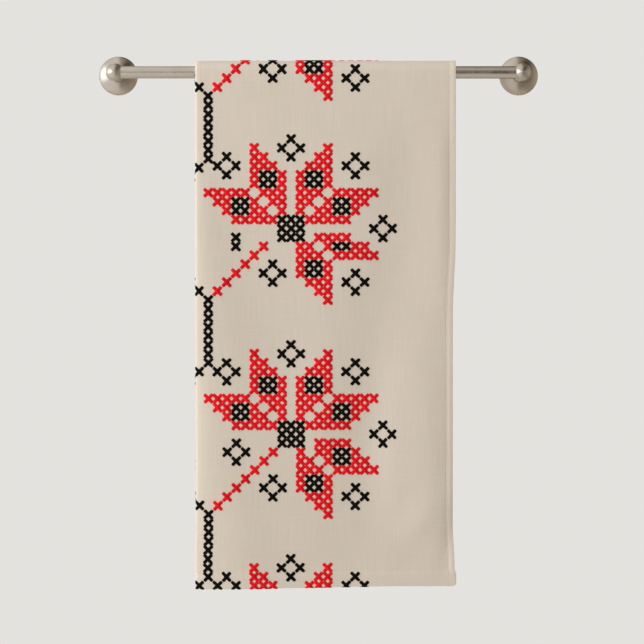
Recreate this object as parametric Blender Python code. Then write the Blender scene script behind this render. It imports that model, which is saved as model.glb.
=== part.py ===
"""A bath towel, folded in half lengthwise and hung over a straight round wall rail.

The wall is the plane y = 0 and the room lies towards -y. X runs along the rail, z is up, and
the origin is on the wall, midway between the two posts and level with the rail's axis.
Everything is in metres.
"""

import math
from collections import namedtuple

import bmesh
import bpy
from mathutils import Matrix, Vector

# Wall rail
POST_SPACING = 0.600
RAIL_STANDOFF = 0.075
RAIL_RADIUS = 0.009
RAIL_WALL = 0.001
FIT_GAP = 0.0003

# Post, turned about its own axis: a mounting puck, a waisted neck and a ball head
PUCK_RADIUS = 0.020
PUCK_DEPTH = 0.008
NECK_ROOT_RADIUS = 0.0105
NECK_WAIST_RADIUS = 0.0072
NECK_WAIST_FROM_WALL = 0.055
HEAD_RADIUS = 0.0132
HEAD_LIP_OFFSET = 0.009
TUBE_END_OFFSET = 0.003

# Domed cover over the puck
COVER_RADIUS = 0.029
COVER_RIM_DEPTH = 0.002
COVER_DOME_DEPTH = 0.0125
COVER_WALL = 0.0015
COVER_NECK_GAP = 0.0004

# Grub screw under each cover, with a hexagon socket in its end
SCREW_RADIUS = 0.0015
SCREW_HOLE_RADIUS = 0.0018
SCREW_FROM_WALL = 0.005
SCREW_END_RADIUS = 0.0268
KEY_RADIUS = 0.0008
KEY_DEPTH = 0.0015

# Towel, cut 762 x 1524 mm (30 x 60 in) and folded in half lengthwise with the fold at -x
TOWEL_LENGTH = 1.524
FOLD_X = -0.1810
FREE_EDGE_X = 0.2015
INNER_EDGE_INSET = 0.003
CLOTH_THICK = 0.003
LAYER_GAP = 0.001
RAIL_CLEARANCE = 0.0009
FRONT_DROP = 0.7575

# The hem's end isn't quite parallel to the rail: it hangs lower at the fold than at the free
# edge, levels off within this share of the width, and passes its mean height at this height
HEM_SLANT = 0.0045
HEM_SLANT_TO = 0.85
HEM_SLANT_MEAN = 2 / 3

# Hems: the cloth is turned back and sewn, so it is thicker there
HEM_EXTRA = 0.0006
HEM_RAMP = 0.0015
END_HEM = 0.023
SIDE_HEM = 0.009

# The folded stack over the rail, and how far each layer's middle is from the stack's middle
FACE_WIDTH = FREE_EDGE_X - FOLD_X
STACK_LOW = RAIL_RADIUS + RAIL_CLEARANCE
STACK_MIDDLE = STACK_LOW + CLOTH_THICK + LAYER_GAP / 2
LAYER_OFFSET = (CLOTH_THICK + LAYER_GAP) / 2
BACK_DROP = TOWEL_LENGTH - FRONT_DROP - math.pi * STACK_MIDDLE

# How the edges wander: the free edge is drawn in below the rail, in front and at the back. In
# front it eases out again above the hem and bulges at the hem's corner, and the fold moves a
# little each way. The cloth beside the free edge takes up the difference, over this range of
# the width. The hems' corners are quarter rounds that lie within the side hem.
EDGE_DRAWN_IN = 0.0042
EDGE_GOES_IN = (0.24, 0.36)
EDGE_EASES_OUT = 0.0028
EDGE_COMES_OUT = (0.66, 0.73)
CORNER_BULGE = 0.0024
CORNER_STARTS = (0.731, 0.740)
BACK_EDGE_DRAWN_IN = 0.0055
BACK_EDGE_GOES_IN = (0.14, 0.32)
EDGE_TAKES_UP = (0.68, 1.0)
CORNER_ROUND = 0.005
CORNER_TAKES_UP = 0.976
FOLD_WANDER = 0.0009
FOLD_IN_AT = 0.57
FOLD_IN_REACH = 0.07
FOLD_OUT_AT = 0.72
FOLD_OUT_REACH = 0.03

# Soft ridges and troughs of each drop: where the middle lies, how far it reaches each way, how
# much it leans (x over z), and how far it stands out from the rail. They fade in below the rail.
Wave = namedtuple("Wave", "x z wide tall lean rise")
FRONT_WAVES = (
    Wave(x=0.110, z=-0.340, wide=0.050, tall=0.300, lean=0.12, rise=-0.0040),
    Wave(x=-0.190, z=-0.520, wide=0.016, tall=0.480, lean=0.00, rise=-0.0035),
    Wave(x=-0.130, z=-0.630, wide=0.050, tall=0.480, lean=-0.15, rise=0.0040),
    Wave(x=-0.110, z=-0.440, wide=0.040, tall=0.280, lean=-0.30, rise=0.0020),
    Wave(x=0.160, z=-0.560, wide=0.045, tall=0.180, lean=-0.15, rise=0.0045),
    Wave(x=0.110, z=-0.550, wide=0.025, tall=0.120, lean=0.00, rise=0.0020),
    Wave(x=0.150, z=-0.660, wide=0.025, tall=0.035, lean=0.45, rise=0.0020),
    Wave(x=0.200, z=-0.170, wide=0.014, tall=0.180, lean=0.00, rise=-0.0028),
    Wave(x=0.200, z=-0.670, wide=0.014, tall=0.070, lean=0.25, rise=-0.0020),
    Wave(x=0.000, z=-0.520, wide=0.035, tall=0.090, lean=0.00, rise=0.0020),
)
BACK_WAVES = (
    Wave(x=-0.090, z=-0.520, wide=0.040, tall=0.240, lean=0.05, rise=0.0040),
    Wave(x=0.050, z=-0.600, wide=0.050, tall=0.220, lean=-0.08, rise=-0.0035),
    Wave(x=0.165, z=-0.450, wide=0.030, tall=0.260, lean=0.00, rise=0.0030),
)
WAVES_FADE_IN = (0.02, 0.14)

# How finely each form is laid out
ROUND_STEPS = 36
NECK_STEPS = 7
HEAD_STEPS = 12
DOME_STEPS = 9
BODY_STATIONS = 19
FOLD_STEPS = 6
FRONT_RINGS = 19
ARC_STEPS = 12
BACK_RINGS = 9
MERGE_DISTANCE = 1e-6
SHARP_ANGLE = math.radians(35)

# Colours of the two materials
FLAX = (0.60, 0.52, 0.44)
NICKEL = (0.56, 0.52, 0.46)


def clear_scene():
    for thing in list(bpy.data.objects):
        bpy.data.objects.remove(thing, do_unlink=True)


def make_material(name, colour, roughness, metallic):
    material = bpy.data.materials.new(name)
    material.use_nodes = True
    shader = material.node_tree.nodes["Principled BSDF"]
    shader.inputs["Base Color"].default_value = (*colour, 1.0)
    shader.inputs["Roughness"].default_value = roughness
    shader.inputs["Metallic"].default_value = metallic
    return material


def make_empty(name, parent=None, place=(0, 0, 0)):
    empty = bpy.data.objects.new(name, None)
    bpy.context.collection.objects.link(empty)
    empty.location = place
    empty.parent = parent
    return empty


def make_object(name, bm, parent, place=Matrix.Identity(4)):
    """Turn a closed bmesh into an object, placed in its parent's frame."""
    bmesh.ops.recalc_face_normals(bm, faces=bm.faces)
    mesh = bpy.data.meshes.new(name)
    bm.to_mesh(mesh)
    bm.free()
    thing = bpy.data.objects.new(name, mesh)
    bpy.context.collection.objects.link(thing)
    thing.parent = parent
    thing.matrix_basis = place
    return thing


def make_piece(name, bm, material, parent, place=Matrix.Identity(4)):
    piece = make_object(name, bm, parent, place)
    piece.data.shade_smooth()
    piece.data.set_sharp_from_angle(angle=SHARP_ANGLE)
    piece.data.materials.append(material)
    return piece


def cut(piece, name, bm, place):
    """Cut a hidden shape out of a piece."""
    cutter = make_object(name, bm, piece.parent, place)
    cutter.hide_render = True
    cutter.display_type = "WIRE"
    modifier = piece.modifiers.new(name, "BOOLEAN")
    modifier.operation = "DIFFERENCE"
    modifier.solver = "EXACT"
    modifier.object = cutter


def turned(profile, closed=False):
    """Spin a profile of (radius, height) pairs about z into a closed form."""
    bm = bmesh.new()
    points = [bm.verts.new((radius, 0.0, height)) for radius, height in profile]
    edges = [bm.edges.new(pair) for pair in zip(points, points[1:])]
    if closed:
        edges.append(bm.edges.new((points[-1], points[0])))
    bmesh.ops.spin(
        bm, geom=points + edges, cent=(0, 0, 0), axis=(0, 0, 1),
        angle=math.tau, steps=ROUND_STEPS, use_merge=True,
    )
    bmesh.ops.remove_doubles(bm, verts=bm.verts, dist=MERGE_DISTANCE)
    return bm


def smooth_step(span, value):
    low, high = span
    t = min(1.0, max(0.0, (value - low) / (high - low)))
    return t * t * (3 - 2 * t)


def bump(middle, reach, value):
    return math.exp(-(((value - middle) / reach) ** 2))


# Towel

def wave_height(waves, x, z):
    """How far the soft waves push the cloth away from the rail at one place of a drop."""
    height = 0.0
    for wave in waves:
        leaning_x = wave.x + wave.lean * (z - wave.z)
        height += wave.rise * bump(leaning_x, wave.wide, x) * bump(wave.z, wave.tall, z)
    return height * smooth_step(WAVES_FADE_IN, -z)


def fold_edge(depth):
    """Where the fold lies, at a depth below the rail's axis."""
    moved_in = bump(FOLD_IN_AT, FOLD_IN_REACH, depth)
    moved_out = bump(FOLD_OUT_AT, FOLD_OUT_REACH, depth)
    return FOLD_X + FOLD_WANDER * (moved_in - moved_out)


def edge_drawn_in(depth):
    """How far the outer layer's free edge is drawn in, at a depth below the rail's axis."""
    drawn_in = EDGE_DRAWN_IN * smooth_step(EDGE_GOES_IN, depth)
    eased_out = EDGE_EASES_OUT * smooth_step(EDGE_COMES_OUT, depth)
    return drawn_in - eased_out - CORNER_BULGE * smooth_step(CORNER_STARTS, depth)


def hem_slant(across):
    """How much higher than its mean the hem's end hangs, at a fraction of the width."""
    return HEM_SLANT * (smooth_step((0.0, HEM_SLANT_TO), across) - HEM_SLANT_MEAN)


def across_stations():
    """Fractions of the width from the fold's centre (0) to the free edge (1)."""
    body_end = 1 - (SIDE_HEM + HEM_RAMP) / FACE_WIDTH
    body = [body_end * step / BODY_STATIONS for step in range(BODY_STATIONS + 1)]
    beside_fold = (body[0] + body[1]) / 2
    beside_hem = (body[-2] + body[-1]) / 2
    hem = [1 - SIDE_HEM / FACE_WIDTH, 1 - 0.5 * SIDE_HEM / FACE_WIDTH, 1.0]
    return sorted(body + [beside_fold, beside_hem]) + hem


def drop_stations(drop, rings):
    """Distances from the hem's end up to just below the rail, closer together at the hem."""
    start = END_HEM + HEM_RAMP
    body = [start + (drop - start) * step / rings for step in range(rings)]
    return [0.0, CORNER_ROUND / 3, CORNER_ROUND, END_HEM / 2, END_HEM] + body


def hem_extra(across, from_end):
    """Extra thickness of one layer where the cloth is turned back."""
    from_side = (1 - across) * FACE_WIDTH
    side = 1 - smooth_step((SIDE_HEM, SIDE_HEM + HEM_RAMP), from_side)
    end = 1 - smooth_step((END_HEM, END_HEM + HEM_RAMP), from_end)
    return HEM_EXTRA * max(side, end)


def section(fold_x, drawn_in, from_end):
    """The towel's hairpin section as two skins of (x, distance from the rail's axis, across).

    The first skin faces out: it runs from the outer layer's free edge, round the fold, to the
    inner layer's free edge. The second is the skin between the layers.
    """
    bend_radius = CLOTH_THICK + hem_extra(0.0, from_end) + LAYER_GAP / 2
    centre_x = fold_x + bend_radius

    t = max(0.0, 1 - from_end / CORNER_ROUND)
    corner_drawn_in = CORNER_ROUND * (1 - math.sqrt(1 - t * t))

    def layer_x(across, free_x):
        taken_up = drawn_in * smooth_step(EDGE_TAKES_UP, across)
        in_corner = max(0.0, (across - CORNER_TAKES_UP) / (1 - CORNER_TAKES_UP))
        return centre_x + across * (free_x - centre_x) - taken_up - corner_drawn_in * in_corner

    stations = across_stations()
    outside, inside = [], []
    for across in reversed(stations):
        x = layer_x(across, FREE_EDGE_X)
        extra = hem_extra(across, from_end)
        top = STACK_LOW + 2 * (CLOTH_THICK + extra) + LAYER_GAP
        outside.append((x, top, across))
        inside.append((x, top - CLOTH_THICK - extra, across))
    for step in range(1, FOLD_STEPS):
        angle = math.pi * step / FOLD_STEPS
        for skin, radius in ((outside, bend_radius), (inside, LAYER_GAP / 2)):
            distance = STACK_LOW + bend_radius + radius * math.cos(angle)
            skin.append((centre_x - radius * math.sin(angle), distance, 0.0))
    for across in stations:
        x = layer_x(across, FREE_EDGE_X - INNER_EDGE_INSET)
        extra = hem_extra(across, from_end)
        outside.append((x, STACK_LOW, across))
        inside.append((x, STACK_LOW + CLOTH_THICK + extra, across))
    return outside, inside


def front_ring(from_end):
    """One section of the front drop, at a distance above its hem's end."""
    depth = FRONT_DROP - from_end

    def place(x, distance, across):
        z = -depth + hem_slant(across) * depth / FRONT_DROP
        out = distance + wave_height(FRONT_WAVES, x, z)
        return Vector((x, -RAIL_STANDOFF - out, z))

    skins = section(fold_edge(depth), edge_drawn_in(depth), from_end)
    return [[place(*point) for point in skin] for skin in skins]


def arc_ring(angle):
    """One section over the rail, from its front (0) to its back (pi)."""
    def place(x, distance, across):
        y = -RAIL_STANDOFF - distance * math.cos(angle)
        return Vector((x, y, distance * math.sin(angle)))

    skins = section(FOLD_X, 0.0, FRONT_DROP)
    return [[place(*point) for point in skin] for skin in skins]


def back_ring(from_end):
    """One section of the back drop, where the length that each layer has left hangs down.

    The inner layer's way over the rail is shorter, so it ends lower than the outer layer, by
    nothing at the fold and the most at the free edges.
    """
    up = 1 - from_end / BACK_DROP

    def place(x, distance, across):
        layer = 1 if distance > STACK_MIDDLE else -1
        turn = math.pi * (STACK_MIDDLE + layer * LAYER_OFFSET * across)
        drop = TOWEL_LENGTH - FRONT_DROP - turn + hem_slant(across)
        z = -drop * up
        out = distance + wave_height(BACK_WAVES, x, z)
        return Vector((x, -RAIL_STANDOFF + out, z))

    drawn_in = BACK_EDGE_DRAWN_IN * smooth_step(BACK_EDGE_GOES_IN, BACK_DROP - from_end)
    skins = section(FOLD_X, drawn_in, from_end)
    return [[place(*point) for point in skin] for skin in skins]


def towel_rings():
    rings = [front_ring(from_end) for from_end in drop_stations(FRONT_DROP, FRONT_RINGS)]
    rings += [arc_ring(math.pi * step / ARC_STEPS) for step in range(ARC_STEPS + 1)]
    rings += [back_ring(from_end) for from_end in reversed(drop_stations(BACK_DROP, BACK_RINGS))]
    return rings


def build_towel(parent):
    bm = bmesh.new()
    rings = [[[bm.verts.new(point) for point in skin] for skin in ring] for ring in towel_rings()]
    last = len(rings[0][0]) - 1
    for ring, following in zip(rings, rings[1:]):
        for skin, next_skin in zip(ring, following):
            for k in range(last):
                bm.faces.new((skin[k], skin[k + 1], next_skin[k + 1], next_skin[k]))
        for k in (0, last):
            bm.faces.new((ring[0][k], ring[1][k], following[1][k], following[0][k]))
    for outside, inside in (rings[0], rings[-1]):
        for k in range(last):
            bm.faces.new((outside[k], outside[k + 1], inside[k + 1], inside[k]))
    make_piece("towel", bm, make_material("flax_cloth", FLAX, 0.9, 0.0), parent)


# Rail and its two posts

def build_rail(parent):
    half = POST_SPACING / 2 - TUBE_END_OFFSET
    bore = RAIL_RADIUS - RAIL_WALL
    profile = [(RAIL_RADIUS, -half), (RAIL_RADIUS, half), (bore, half), (bore, -half)]
    along_x = Matrix.Translation((0, -RAIL_STANDOFF, 0)) @ Matrix.Rotation(math.pi / 2, 4, "Y")
    metal = make_material("satin_nickel_tube", NICKEL, 0.3, 1.0)
    make_piece("rail_tube", turned(profile, closed=True), metal, parent, along_x)


def neck_radius(from_wall):
    """The neck narrows from its root to a waist in one easy sweep, then widens a little."""
    t = (from_wall - PUCK_DEPTH) / (NECK_WAIST_FROM_WALL - PUCK_DEPTH)
    return NECK_WAIST_RADIUS + (NECK_ROOT_RADIUS - NECK_WAIST_RADIUS) * (1 - t) ** 2


def post_profile():
    """Radius and distance from the wall, from the middle of the back to the tip of the ball."""
    neck_end = RAIL_STANDOFF - math.sqrt(HEAD_RADIUS ** 2 - NECK_WAIST_RADIUS ** 2)
    profile = [(0.0, 0.0), (PUCK_RADIUS, 0.0), (PUCK_RADIUS, PUCK_DEPTH)]
    for step in range(NECK_STEPS):
        from_wall = PUCK_DEPTH + (neck_end - PUCK_DEPTH) * step / NECK_STEPS
        profile.append((neck_radius(from_wall), from_wall))
    first_angle = math.asin(neck_radius(neck_end) / HEAD_RADIUS)
    for step in range(HEAD_STEPS):
        angle = first_angle + (math.pi - first_angle) * step / HEAD_STEPS
        from_wall = RAIL_STANDOFF - HEAD_RADIUS * math.cos(angle)
        profile.append((HEAD_RADIUS * math.sin(angle), from_wall))
    return profile + [(0.0, RAIL_STANDOFF + HEAD_RADIUS)]


def socket_profile():
    """What is cut from the ball: the bore for the tube, and all beyond the flat lip."""
    bore = RAIL_RADIUS + FIT_GAP
    floor = TUBE_END_OFFSET - FIT_GAP
    beyond = 2 * HEAD_RADIUS
    return [(0.0, floor), (bore, floor), (bore, HEAD_LIP_OFFSET), (beyond, HEAD_LIP_OFFSET),
            (beyond, beyond), (0.0, beyond)]


def dome_arc(radius, depth, hole):
    """Quarter of an ellipse, from the top of the rim in to the edge of the hole."""
    last_angle = math.asin(hole / radius)
    arc = []
    for step in range(DOME_STEPS + 1):
        angle = math.pi / 2 + (last_angle - math.pi / 2) * step / DOME_STEPS
        arc.append((radius * math.sin(angle), COVER_RIM_DEPTH + depth * math.cos(angle)))
    return arc


def cover_profile():
    """A domed shell with a short straight rim, round a hole for the neck, as one closed loop."""
    hole = neck_radius(COVER_RIM_DEPTH + COVER_DOME_DEPTH - COVER_WALL) + COVER_NECK_GAP
    inner_radius = COVER_RADIUS - COVER_WALL
    outer = [(COVER_RADIUS, 0.0)] + dome_arc(COVER_RADIUS, COVER_DOME_DEPTH, hole)
    inner = [(inner_radius, 0.0)] + dome_arc(inner_radius, COVER_DOME_DEPTH - COVER_WALL, hole)
    return outer + inner[::-1]


def rod_profile(radius, start, end):
    return [(0.0, start), (radius, start), (radius, end), (0.0, end)]


def build_post(side, parent):
    """One post with its cover and grub screw; side is -1 at the left and 1 at the right."""
    word = "left" if side < 0 else "right"
    axis = make_empty("post_axis_" + word, parent, (side * POST_SPACING / 2, 0, 0))
    out_of_wall = Matrix.Rotation(math.pi / 2, 4, "X")
    head = Matrix.Translation((0, -RAIL_STANDOFF, 0))
    along_rail = head @ Matrix.Rotation(-side * math.pi / 2, 4, "Y")
    screw_axis = Matrix.Translation((0, -SCREW_FROM_WALL, 0)) @ Matrix.Rotation(math.pi, 4, "X")

    metal = make_material("satin_nickel_post_" + word, NICKEL, 0.3, 1.0)
    post = make_piece("post_" + word, turned(post_profile()), metal, axis, out_of_wall)
    cut(post, "socket_" + word, turned(socket_profile()), along_rail)

    shell = make_material("satin_nickel_cover_" + word, NICKEL, 0.3, 1.0)
    cover_form = turned(cover_profile(), closed=True)
    cover = make_piece("flange_cover_" + word, cover_form, shell, axis, out_of_wall)
    hole = rod_profile(SCREW_HOLE_RADIUS, PUCK_RADIUS, 2 * COVER_RADIUS)
    cut(cover, "screw_hole_" + word, turned(hole), screw_axis)

    steel = make_material("grub_screw_" + word, NICKEL, 0.4, 1.0)
    stud = rod_profile(SCREW_RADIUS, PUCK_RADIUS + FIT_GAP, SCREW_END_RADIUS)
    screw = make_piece("set_screw_" + word, turned(stud), steel, axis, screw_axis)
    key = bmesh.new()
    bmesh.ops.create_cone(
        key, cap_ends=True, segments=6, radius1=KEY_RADIUS, radius2=KEY_RADIUS,
        depth=2 * KEY_DEPTH, matrix=Matrix.Translation((0, 0, SCREW_END_RADIUS)),
    )
    cut(screw, "key_" + word, key, screw_axis)


def build():
    clear_scene()
    towel_on_rail = make_empty("towel_on_rail")
    build_rail(towel_on_rail)
    for side in (-1, 1):
        build_post(side, towel_on_rail)
    build_towel(towel_on_rail)


build()
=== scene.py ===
# %% [markdown]
# # A cross-stitched bath towel on its rail
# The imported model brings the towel, the rail tube, two posts, their domed covers and two grub
# screws, at their real size and place. This lesson gives each of them its real surface: cloth
# with a weave and sewn hems, raised cross-stitches in two colours, and satin nickel.
# Everything is in metres. X runs along the rail, y away from the room and z up.

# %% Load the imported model
import math
from collections import namedtuple

import bmesh
import bpy
import numpy as np
from mathutils import Matrix, Vector


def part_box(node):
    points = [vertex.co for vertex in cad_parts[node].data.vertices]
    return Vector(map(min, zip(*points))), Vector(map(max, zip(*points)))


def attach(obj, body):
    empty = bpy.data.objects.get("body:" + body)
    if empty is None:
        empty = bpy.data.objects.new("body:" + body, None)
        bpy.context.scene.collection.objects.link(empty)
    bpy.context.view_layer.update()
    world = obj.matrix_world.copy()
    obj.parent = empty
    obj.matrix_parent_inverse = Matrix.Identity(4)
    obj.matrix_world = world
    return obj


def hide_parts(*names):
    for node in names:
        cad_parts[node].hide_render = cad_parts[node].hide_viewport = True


MM = 0.001
BODY = "root"

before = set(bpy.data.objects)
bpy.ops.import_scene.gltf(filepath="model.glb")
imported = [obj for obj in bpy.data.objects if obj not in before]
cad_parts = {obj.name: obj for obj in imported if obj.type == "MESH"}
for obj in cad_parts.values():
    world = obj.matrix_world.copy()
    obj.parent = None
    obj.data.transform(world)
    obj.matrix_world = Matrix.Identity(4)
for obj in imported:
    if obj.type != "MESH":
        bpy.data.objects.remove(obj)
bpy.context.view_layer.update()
print("nodes:", ", ".join(sorted(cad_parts)))

# %% [markdown]
# Two helpers serve every finish below. Colours are written as the sRGB hex values that a colour
# picker shows, while Blender's shaders want linear light, so one function converts them. The
# other adds a shader node and fills its inputs. An input may be a value, an output to link, or a
# whole node, and then its first output in use is linked.

# %% Colour and node helpers
def linear(hex_colour):
    channels = [int(hex_colour[k:k + 2], 16) / 255 for k in (1, 3, 5)]
    light = [c / 12.92 if c <= 0.04045 else ((c + 0.055) / 1.055) ** 2.4 for c in channels]
    return (*light, 1.0)


def add_node(tree, kind, settings=None, inputs=None):
    node = tree.nodes.new(kind)
    for name, value in (settings or {}).items():
        setattr(node, name, value)
    for socket, value in (inputs or {}).items():
        if isinstance(value, bpy.types.Node):
            value = next(output for output in value.outputs if output.enabled)
        if isinstance(value, bpy.types.NodeSocket):
            tree.links.new(value, node.inputs[socket])
        else:
            node.inputs[socket].default_value = value
    return node


def new_material(name):
    """A material with its Principled shader, ready for more nodes."""
    material = bpy.data.materials.new(name)
    material.use_nodes = True
    return material, material.node_tree, material.node_tree.nodes["Principled BSDF"]


print("middle grey in linear light:", round(linear("#808080")[0], 3))

# %% [markdown]
# ## The towel's shape
# The real towel is one sheet, 762 x 1524 mm, folded in half lengthwise and hung over an 18 mm
# tube. A cloth simulation could drape it, but a towel that somebody has hung with care is almost
# a formula: a hairpin section that runs up the front, over the tube and down the back. So the
# sheet is laid out by that formula, with soft ridges and troughs given one by one. The same
# formula then carries every stitch, which a simulated mesh could not do so simply.

# %% The driving sizes of the towel
tube_low, tube_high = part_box("rail_tube")
RAIL_RADIUS = (tube_high.z - tube_low.z) / 2
RAIL_STANDOFF = -(tube_low.y + tube_high.y) / 2

TOWEL_LENGTH = 1.524
FOLD_X = -0.1810
FREE_EDGE_X = 0.2015
INNER_EDGE_INSET = 3.0 * MM
CLOTH_THICK = 3.0 * MM
LAYER_GAP = 1.0 * MM
RAIL_CLEARANCE = 0.9 * MM
FRONT_DROP = 0.7575
HEM_EXTRA = 0.25 * MM
HEM_RAMP = 5.5 * MM
SIDE_GROOVE = 0.10 * MM
SEWN_REACH = 1.6 * MM
END_HEM = 23 * MM
SIDE_HEM = 9 * MM

FACE_WIDTH = FREE_EDGE_X - FOLD_X
STACK_LOW = RAIL_RADIUS + RAIL_CLEARANCE
STACK_MIDDLE = STACK_LOW + CLOTH_THICK + LAYER_GAP / 2
LAYER_OFFSET = (CLOTH_THICK + LAYER_GAP) / 2
BEND_RADIUS = CLOTH_THICK + LAYER_GAP / 2
FLAT_WIDTH = FACE_WIDTH - BEND_RADIUS
FOLD_LENGTH = math.pi * BEND_RADIUS
BACK_DROP = TOWEL_LENGTH - FRONT_DROP - math.pi * STACK_MIDDLE
print(f"tube radius {RAIL_RADIUS / MM:.1f} mm, axis {RAIL_STANDOFF / MM:.1f} mm from the posts' backs")

# %% [markdown]
# The photographed cloth is nearly flat, and its life is in ten soft forms: a hollow and a broad
# swell on the right, with a small fold low in it, a trough beside the side hem, and long swells
# that round off towards the fold. Each is one bell-shaped bump that may lean to one side.

# %% Soft ridges and troughs
Wave = namedtuple("Wave", "x z wide tall lean rise")
FRONT_WAVES = (
    Wave(x=0.110, z=-0.340, wide=0.050, tall=0.300, lean=0.12, rise=-0.0040),
    Wave(x=-0.190, z=-0.520, wide=0.016, tall=0.480, lean=0.00, rise=-0.0035),
    Wave(x=-0.130, z=-0.630, wide=0.050, tall=0.480, lean=-0.15, rise=0.0040),
    Wave(x=-0.110, z=-0.440, wide=0.040, tall=0.280, lean=-0.30, rise=0.0020),
    Wave(x=0.160, z=-0.560, wide=0.045, tall=0.180, lean=-0.15, rise=0.0045),
    Wave(x=0.110, z=-0.550, wide=0.025, tall=0.120, lean=0.00, rise=0.0020),
    Wave(x=0.150, z=-0.660, wide=0.025, tall=0.035, lean=0.45, rise=0.0020),
    Wave(x=0.200, z=-0.170, wide=0.014, tall=0.180, lean=0.00, rise=-0.0028),
    Wave(x=0.200, z=-0.670, wide=0.014, tall=0.070, lean=0.25, rise=-0.0020),
    Wave(x=0.000, z=-0.520, wide=0.035, tall=0.090, lean=0.00, rise=0.0020),
)
BACK_WAVES = (
    Wave(x=-0.090, z=-0.520, wide=0.040, tall=0.240, lean=0.05, rise=0.0040),
    Wave(x=0.050, z=-0.600, wide=0.050, tall=0.220, lean=-0.08, rise=-0.0035),
    Wave(x=0.165, z=-0.450, wide=0.030, tall=0.260, lean=0.00, rise=0.0030),
)
WAVES_FADE_IN = (0.02, 0.14)


def smooth_step(span, value):
    low, high = span
    t = np.clip((value - low) / (high - low), 0, 1)
    return t * t * (3 - 2 * t)


def bump(middle, reach, value):
    return np.exp(-(((value - middle) / reach) ** 2))


def wave_height(waves, x, z):
    height = np.zeros(np.broadcast(x, z).shape)
    for wave in waves:
        leaning_x = wave.x + wave.lean * (z - wave.z)
        height = height + wave.rise * bump(leaning_x, wave.wide, x) * bump(wave.z, wave.tall, z)
    return height * smooth_step(WAVES_FADE_IN, -z)


print("front waves:", len(FRONT_WAVES), " back waves:", len(BACK_WAVES))

# %% [markdown]
# The edges aren't ruler-straight either. Below the rail the free edge is drawn in a little, in
# front and at the back; in front it eases out above the hem and bulges at the hem's corner, which
# is rounded by its sewing. The fold wanders by less than a millimetre, and the hem's end hangs
# lowest at the fold.

# %% Edges that wander
EDGE_DRAWN_IN = 4.2 * MM
EDGE_GOES_IN = (0.24, 0.36)
EDGE_EASES_OUT = 2.8 * MM
EDGE_COMES_OUT = (0.66, 0.73)
CORNER_BULGE = 2.4 * MM
CORNER_STARTS = (0.731, 0.740)
BACK_EDGE_DRAWN_IN = 5.5 * MM
BACK_EDGE_GOES_IN = (0.14, 0.32)
EDGE_TAKES_UP = (0.68, 1.0)
CORNER_ROUND = 5.0 * MM
CORNER_TAKES_UP = 0.976
HEM_SLANT = 4.5 * MM
HEM_SLANT_TO = 0.85
HEM_SLANT_MEAN = 2 / 3
FOLD_WANDER = 0.9 * MM
FOLD_IN_AT = 0.57
FOLD_IN_REACH = 0.07
FOLD_OUT_AT = 0.72
FOLD_OUT_REACH = 0.03


def fold_edge(depth):
    moved_in = bump(FOLD_IN_AT, FOLD_IN_REACH, depth)
    moved_out = bump(FOLD_OUT_AT, FOLD_OUT_REACH, depth)
    return FOLD_X + FOLD_WANDER * (moved_in - moved_out)


def corner_drawn_in(across, from_end):
    """The hem's corner is a quarter round, taken up by the side hem."""
    t = np.clip(1 - from_end / CORNER_ROUND, 0, 1)
    taken_up = np.clip((across - CORNER_TAKES_UP) / (1 - CORNER_TAKES_UP), 0, 1)
    return CORNER_ROUND * (1 - np.sqrt(1 - t * t)) * taken_up


def edge_drawn_in(across, depth, back_depth):
    """How far the cloth is drawn towards the fold; only the part near the free edge takes it up."""
    drawn_in = EDGE_DRAWN_IN * smooth_step(EDGE_GOES_IN, depth)
    eased_out = EDGE_EASES_OUT * smooth_step(EDGE_COMES_OUT, depth)
    in_front = drawn_in - eased_out - CORNER_BULGE * smooth_step(CORNER_STARTS, depth)
    at_back = BACK_EDGE_DRAWN_IN * smooth_step(BACK_EDGE_GOES_IN, back_depth)
    corner = corner_drawn_in(across, np.minimum(FRONT_DROP - depth, BACK_DROP - back_depth))
    return (in_front + at_back) * smooth_step(EDGE_TAKES_UP, across) + corner


def hem_slant(across):
    """How much higher than its mean the hem's end hangs."""
    return HEM_SLANT * (smooth_step((0, HEM_SLANT_TO), across) - HEM_SLANT_MEAN)


def hem_extra(across, from_end):
    """Extra thickness of one layer where the cloth is turned back, less the side's soft groove."""
    from_side = (1 - across) * FACE_WIDTH
    side = 1 - smooth_step((SIDE_HEM - HEM_RAMP, SIDE_HEM), from_side)
    end = 1 - smooth_step((END_HEM - HEM_RAMP, END_HEM), from_end)
    groove = SIDE_GROOVE * bump(SIDE_HEM, SEWN_REACH, from_side)
    return HEM_EXTRA * np.maximum(side, end) - groove


print(f"free edge is drawn in by {edge_drawn_in(1.0, 0.5, 0.0) / MM:.1f} mm half way down")

# %% [markdown]
# `hang` is the heart of the lesson. It takes a place in the folded stack (x, distance from the
# tube's axis, fraction across the fold) and a place along the drape (depth below the rail in
# front, turn over the rail, share of the back drop) and gives the point in space. The inner
# layer has the shorter way over the tube, so it ends lower at the back.

# %% From the folded stack to a point in space
def hang(x, distance, across, layer, depth=0.0, angle=0.0, down=0.0):
    slant = hem_slant(across)
    turn = math.pi * (STACK_MIDDLE + layer * LAYER_OFFSET * across)
    back_drop = TOWEL_LENGTH - FRONT_DROP - turn + slant
    z = (slant / FRONT_DROP - 1) * depth - down * back_drop
    in_front = np.cos(angle) > 0
    waves = np.where(in_front, wave_height(FRONT_WAVES, x, z), wave_height(BACK_WAVES, x, z))
    y = -RAIL_STANDOFF - (distance + waves) * np.cos(angle)
    return np.stack(np.broadcast_arrays(x, y, z + distance * np.sin(angle)), axis=-1)


print("front hem at the fold:", hang(FOLD_X, STACK_MIDDLE, 0.0, 1, depth=FRONT_DROP).round(4))

# %% [markdown]
# The sheet needs a point every 5 or 6 mm, so that the soft forms stay round, and closer points
# where the hems step up. Each row is the closed hairpin section: the skin that faces out, and
# the skin between the two layers.

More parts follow.
